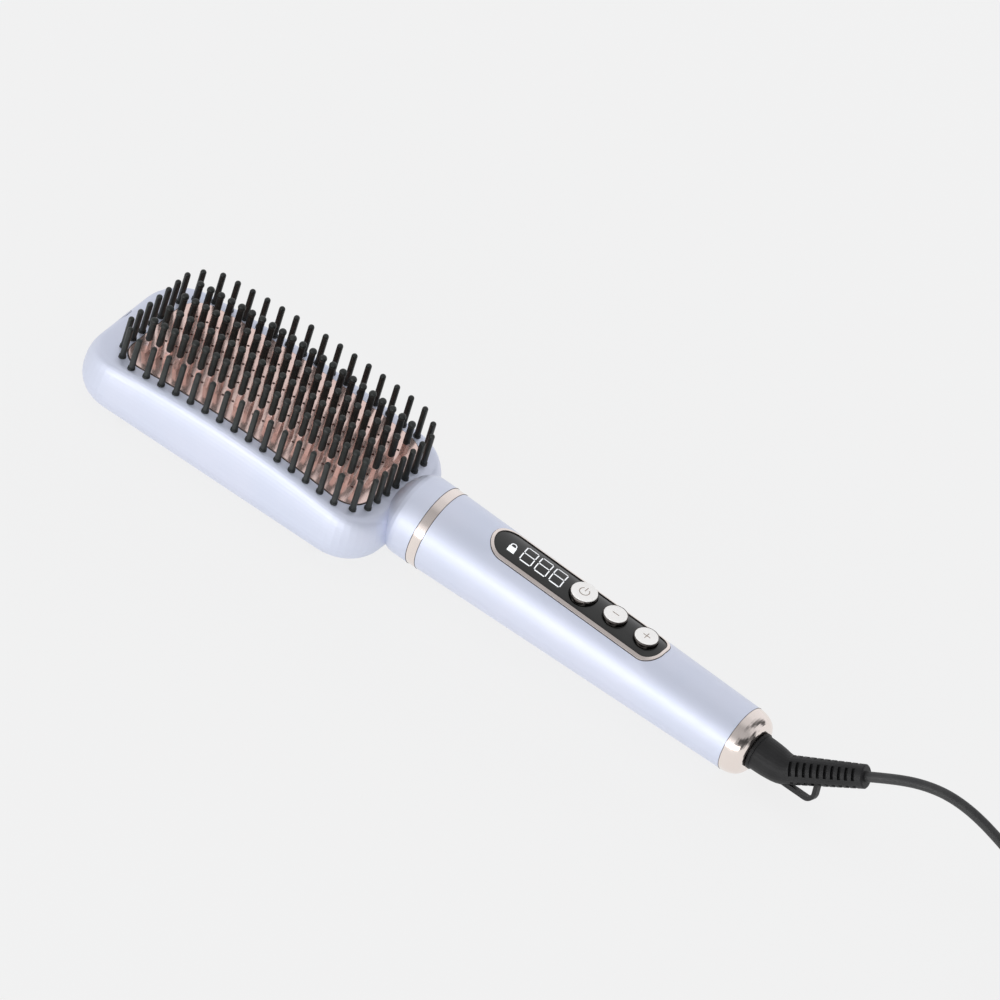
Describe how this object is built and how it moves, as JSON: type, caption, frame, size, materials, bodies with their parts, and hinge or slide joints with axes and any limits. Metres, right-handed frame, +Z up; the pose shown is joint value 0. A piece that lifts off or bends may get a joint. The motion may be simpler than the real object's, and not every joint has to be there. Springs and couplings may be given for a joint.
{
  "type": "steam hair straightener brush",
  "caption": "Heated brush for straightening hair: arched head with rows of metal studs and guard bristles, round handle with a button panel, swivel cord with hanging loop.",
  "frame": {"origin": "on the surface that it lies on, under the middle of the brush without its free cord", "axes": "+X from the tip of the head to the cord end, +Z up on the bristle side, +Y completes a right-handed frame"},
  "size_m": [0.5078, 0.0755, 0.0455],
  "materials": {
    "shell": "pearl lilac gloss",
    "back_shell": "pearl lilac gloss",
    "rose_plate": "satin rose",
    "gasket": "matte",
    "bristle": "matte",
    "tip": "matte",
    "tray_metal": "cast",
    "ceramic": "unglazed ceramic",
    "sensor": "satin",
    "fuse": "satin",
    "tank": "translucent",
    "pump": "satin",
    "silicone_tube": "translucent silicone",
    "steel": "satin",
    "plug_rubber": "satin",
    "oring": "matte",
    "champagne": "champagne metallic",
    "lens": "polished black",
    "chassis": "matte",
    "board": "solder mask",
    "display": "white reflector",
    "switch": "matte",
    "button": "polished black",
    "black_plastic": "matte",
    "cord_black": "matte black"
  },
  "bodies": {
    "brush": {"head_front_shell": "shell", "head_back_cover": "back_shell", "heating_plate": "rose_plate", "plate_gasket": "gasket", "guard_strip_near": "bristle", "guard_strip_far": "bristle", "guard_strip_tip": "bristle", "guard_strip_neck": "bristle", "bristle_tips_row_1": "tip", "bristle_tips_row_2": "tip", "bristle_tips_row_3": "tip", "bristle_tips_row_4": "tip", "steam_tray": "tray_metal", "ptc_heaters": "ceramic", "thermistor": "sensor", "thermal_fuse": "fuse", "water_tank": "tank", "micro_pump": "pump", "feed_tubes": "silicone_tube", "cover_screws": "steel", "neck_band": "champagne", "handle_shell": "shell", "panel_bezel": "champagne", "display_lens": "lens", "handle_chassis": "chassis", "control_board": "board", "display_module": "display", "tact_switches": "switch", "end_cap": "champagne", "swivel_retainer": "steel"},
    "power": {"power_button": "button", "power_button_face": "champagne"},
    "minus": {"minus_button": "button", "minus_button_face": "champagne"},
    "plus": {"plus_button": "button", "plus_button_face": "champagne"},
    "filler": {"filler_plug": "plug_rubber", "filler_oring": "oring"},
    "cord": {"swivel_core": "black_plastic", "strain_relief": "cord_black", "cord_run": "cord_black", "cord_coil": "cord_black", "cord_tail": "cord_black", "plug_body": "cord_black", "plug_pins": "steel"}
  },
  "joints": [
    {"name": "power_press", "type": "slide", "parent": "brush", "child": "power", "axis": [-0.0267, 0, -0.9996], "range_m": [0, 0.0006], "stiffness_N_per_m": 600},
    {"name": "minus_press", "type": "slide", "parent": "brush", "child": "minus", "axis": [-0.0267, 0, -0.9996], "range_m": [0, 0.0006], "stiffness_N_per_m": 600},
    {"name": "plus_press", "type": "slide", "parent": "brush", "child": "plus", "axis": [-0.0267, 0, -0.9996], "range_m": [0, 0.0006], "stiffness_N_per_m": 600},
    {"name": "filler_pull", "type": "slide", "parent": "brush", "child": "filler", "axis": [-1, 0, 0], "range_m": [0, 0.012]},
    {"name": "cord_swivel", "type": "hinge", "parent": "brush", "child": "cord", "pos_m": [0.12891, 0, 0.01339], "axis": [0.9996, 0, -0.0267], "continuous": true}
  ]
}
